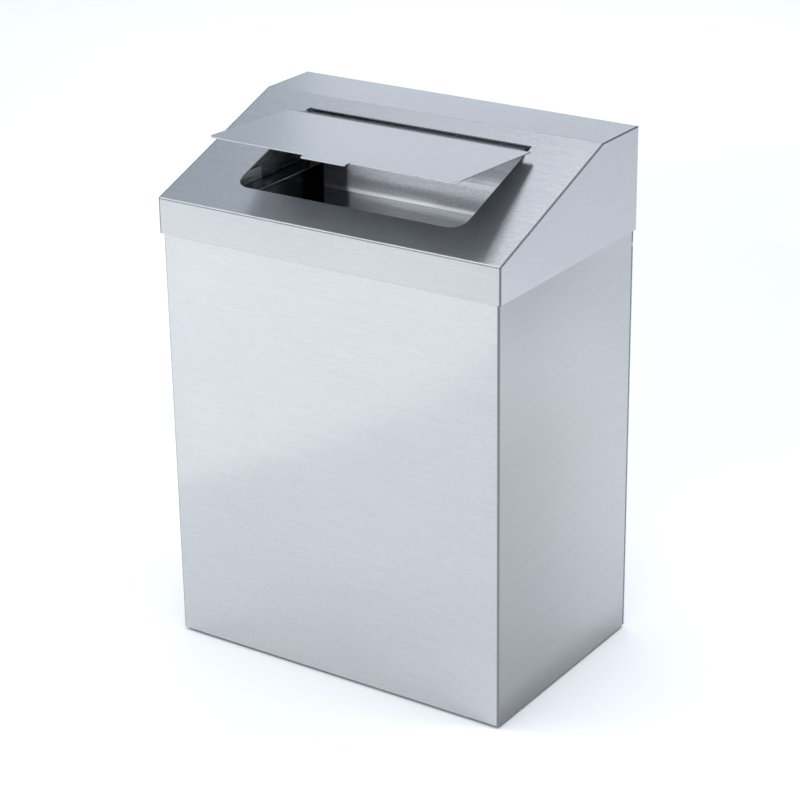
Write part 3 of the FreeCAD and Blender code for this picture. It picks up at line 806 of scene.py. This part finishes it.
class WASTEBIN_OT_fittings(bpy.types.Operator):
    """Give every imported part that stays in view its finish"""
    bl_idname = "wastebin.fittings"
    bl_label = "Fittings"

    def execute(self, context):
        for finish, names in NODE_FINISHES.items():
            for name in names:
                for slot in frame["nodes"][name].material_slots:
                    slot.material = finish_of(finish)
        return {"FINISHED"}


# ---- studio -------------------------------------------------------------------------------
# name, place, target, size, watts, colour
LAMPS = (
    ("overhead_lamp", (0.0, 0.0, 2.8), (0.0, 0.0, 0.2), (2.4, 2.4), 27.07, (1.0, 0.985, 0.978)),
    ("front_lamp", (0.0, -1.8, 1.46), (0.0, 0.0, 0.2), (1.8, 1.8), 6.05, (0.963, 0.981, 1.0)),
    ("right_lamp", (1.08, -0.91, 1.89), (0.0, 0.0, 0.2), (1.2, 1.2), 2.99, (0.75, 0.833, 1.0)),
    ("left_lamp", (-1.25, -0.66, 1.89), (0.0, 0.0, 0.2), (1.5, 1.5), 8.79, (1.0, 0.973, 0.929)),
    ("left_low_lamp", (-1.94, -0.52, 1.09), (0.0, 0.0, 0.2), (1.2, 1.2), 9.95, (1.0, 0.975, 0.95)),
    ("rear_card", (-0.87, 1.95, 0.73), (0.0, 0.0, 0.4), (1.05, 0.85), 0.95, (1.0, 1.0, 1.0)),
    ("slope_card", (-0.96, 0.96, 1.93), (0.0, 0.0, 0.4), (0.6, 0.8), 0.51, (1.0, 1.0, 1.0)),
)
# name, place, target, radius of the pool at the target, lamp radius, soft edge, watts, colour
SPOTS = (
    ("left_pool", (-0.93, -0.65, 2.4), (-0.93, -0.65, 0.0), 0.7, 0.01, 0.07, 45.0,
     (1.0, 0.99, 0.9)),
    ("right_pool", (0.62, 0.1, 2.4), (0.62, 0.1, 0.0), 0.65, 0.1, 0.5, 52.1,
     (1.0, 1.0, 1.0)),
    ("back_pool", (-1.2, 2.6, 3.0), (-1.2, 2.6, 0.0), 2.0, 0.2, 0.6, 81.4,
     (1.0, 1.0, 1.0)),
    ("mouth_lamp_low", (0.07, -1.96, 0.81), (0.0, 0.0, 0.41), 0.115, 0.04, 0.2, 100.0,
     (0.92, 0.97, 1.0)),
    ("mouth_lamp", (0.07, -1.9, 1.01), (0.0, 0.0, 0.41), 0.115, 0.04, 0.2, 90.0,
     (0.92, 0.97, 1.0)),
    ("mouth_lamp_high", (0.06, -1.81, 1.24), (0.0, 0.0, 0.41), 0.115, 0.04, 0.2, 90.0,
     (0.92, 0.97, 1.0)),
)


class WASTEBIN_OT_stage(bpy.types.Operator):
    """Set up the pale floor, the soft lamps and the camera"""
    bl_idname = "wastebin.stage"
    bl_label = "Studio"

    def execute(self, context):
        stage = context.scene.wastebin_stage
        self.floor(context, stage)
        self.lamps(context)
        self.world(context, stage)
        self.camera(context, stage)
        return {"FINISHED"}

    def floor(self, context, stage):
        bm = bmesh.new()
        bmesh.ops.create_circle(bm, cap_ends=True, segments=FLOOR_STEPS,
                                radius=stage.floor_radius)
        mesh = bpy.data.meshes.new("studio_floor")
        bm.to_mesh(mesh)
        bm.free()
        mesh.materials.append(paper("studio_paper"))
        floor = bpy.data.objects.new("studio_floor", mesh)
        context.scene.collection.objects.link(floor)

    def lamps(self, context):
        for name, place, target, size, watts, tint in LAMPS:
            data = bpy.data.lights.new(name, "AREA")
            data.shape = "RECTANGLE"
            data.size, data.size_y = size
            data.energy = watts
            data.color = tint
            self.hang(context, data, place, target)
        for name, place, target, radius, lamp_radius, soft, watts, tint in SPOTS:
            data = bpy.data.lights.new(name, "SPOT")
            reach = (Vector(target) - Vector(place)).length
            data.spot_size = 2 * math.atan2(radius, reach)
            data.spot_blend = soft
            data.shadow_soft_size = lamp_radius
            data.energy = watts
            data.color = tint
            self.hang(context, data, place, target)

    def hang(self, context, data, place, target):
        """Puts a lamp at its place, looking at its target."""
        lamp = bpy.data.objects.new(data.name, data)
        lamp.location = place
        aim = Vector(target) - Vector(place)
        lamp.rotation_euler = aim.to_track_quat("-Z", "Y").to_euler()
        context.scene.collection.objects.link(lamp)

    def world(self, context, stage):
        world = bpy.data.worlds.new("soft_room")
        world.use_nodes = True
        background = world.node_tree.nodes["Background"]
        background.inputs["Color"].default_value = (*stage.room, 1.0)
        background.inputs["Strength"].default_value = stage.room_strength
        context.scene.world = world

    def camera(self, context, stage):
        data = bpy.data.cameras.new("camera")
        data.sensor_width = 36.0
        data.lens = stage.lens
        camera = bpy.data.objects.new("camera", data)
        turn, rise = stage.azimuth, stage.elevation
        back = Vector((math.sin(turn) * math.cos(rise), -math.cos(turn) * math.cos(rise),
                       math.sin(rise)))
        camera.location = Z_AXIS * stage.target_height + back * stage.distance
        look_along = (-back).to_track_quat("-Z", "Y")
        camera.rotation_mode = "QUATERNION"
        roll = Matrix.Rotation(stage.roll, 3, "Z").to_quaternion()
        camera.rotation_quaternion = look_along @ roll
        context.scene.collection.objects.link(camera)
        context.scene.camera = camera
        context.scene.view_settings.view_transform = "Standard"


class WASTEBIN_PT_sidebar(bpy.types.Panel):
    """Lists the steps that build the bin"""
    bl_label = "Dog Waste Bin"
    bl_idname = "WASTEBIN_PT_sidebar"
    bl_space_type = "VIEW_3D"
    bl_region_type = "UI"
    bl_category = "Waste Bin"

    def draw(self, context):
        for operator in OPERATORS:
            self.layout.operator(operator.bl_idname)


SETTINGS = {
    "wastebin_sheet": WASTEBIN_PG_sheet,
    "wastebin_body": WASTEBIN_PG_body,
    "wastebin_hood": WASTEBIN_PG_hood,
    "wastebin_flap": WASTEBIN_PG_flap,
    "wastebin_finish": WASTEBIN_PG_finish,
    "wastebin_shade": WASTEBIN_PG_painted_shade,
    "wastebin_stage": WASTEBIN_PG_stage,
}
OPERATORS = (WASTEBIN_OT_body, WASTEBIN_OT_hood, WASTEBIN_OT_flap, WASTEBIN_OT_fittings,
             WASTEBIN_OT_stage)


def register():
    for group in SETTINGS.values():
        bpy.utils.register_class(group)
    for name, group in SETTINGS.items():
        setattr(bpy.types.Scene, name, PointerProperty(type=group))
    for operator in OPERATORS:
        bpy.utils.register_class(operator)
    bpy.utils.register_class(WASTEBIN_PT_sidebar)


def unregister():
    bpy.utils.unregister_class(WASTEBIN_PT_sidebar)
    for operator in reversed(OPERATORS):
        bpy.utils.unregister_class(operator)
    for name in SETTINGS:
        delattr(bpy.types.Scene, name)
    for group in SETTINGS.values():
        bpy.utils.unregister_class(group)


def main():
    register()
    bpy.ops.wastebin.body()
    bpy.ops.wastebin.hood()
    bpy.ops.wastebin.flap()
    bpy.ops.wastebin.fittings()
    bpy.ops.wastebin.stage()


if __name__ == "__main__":
    main()
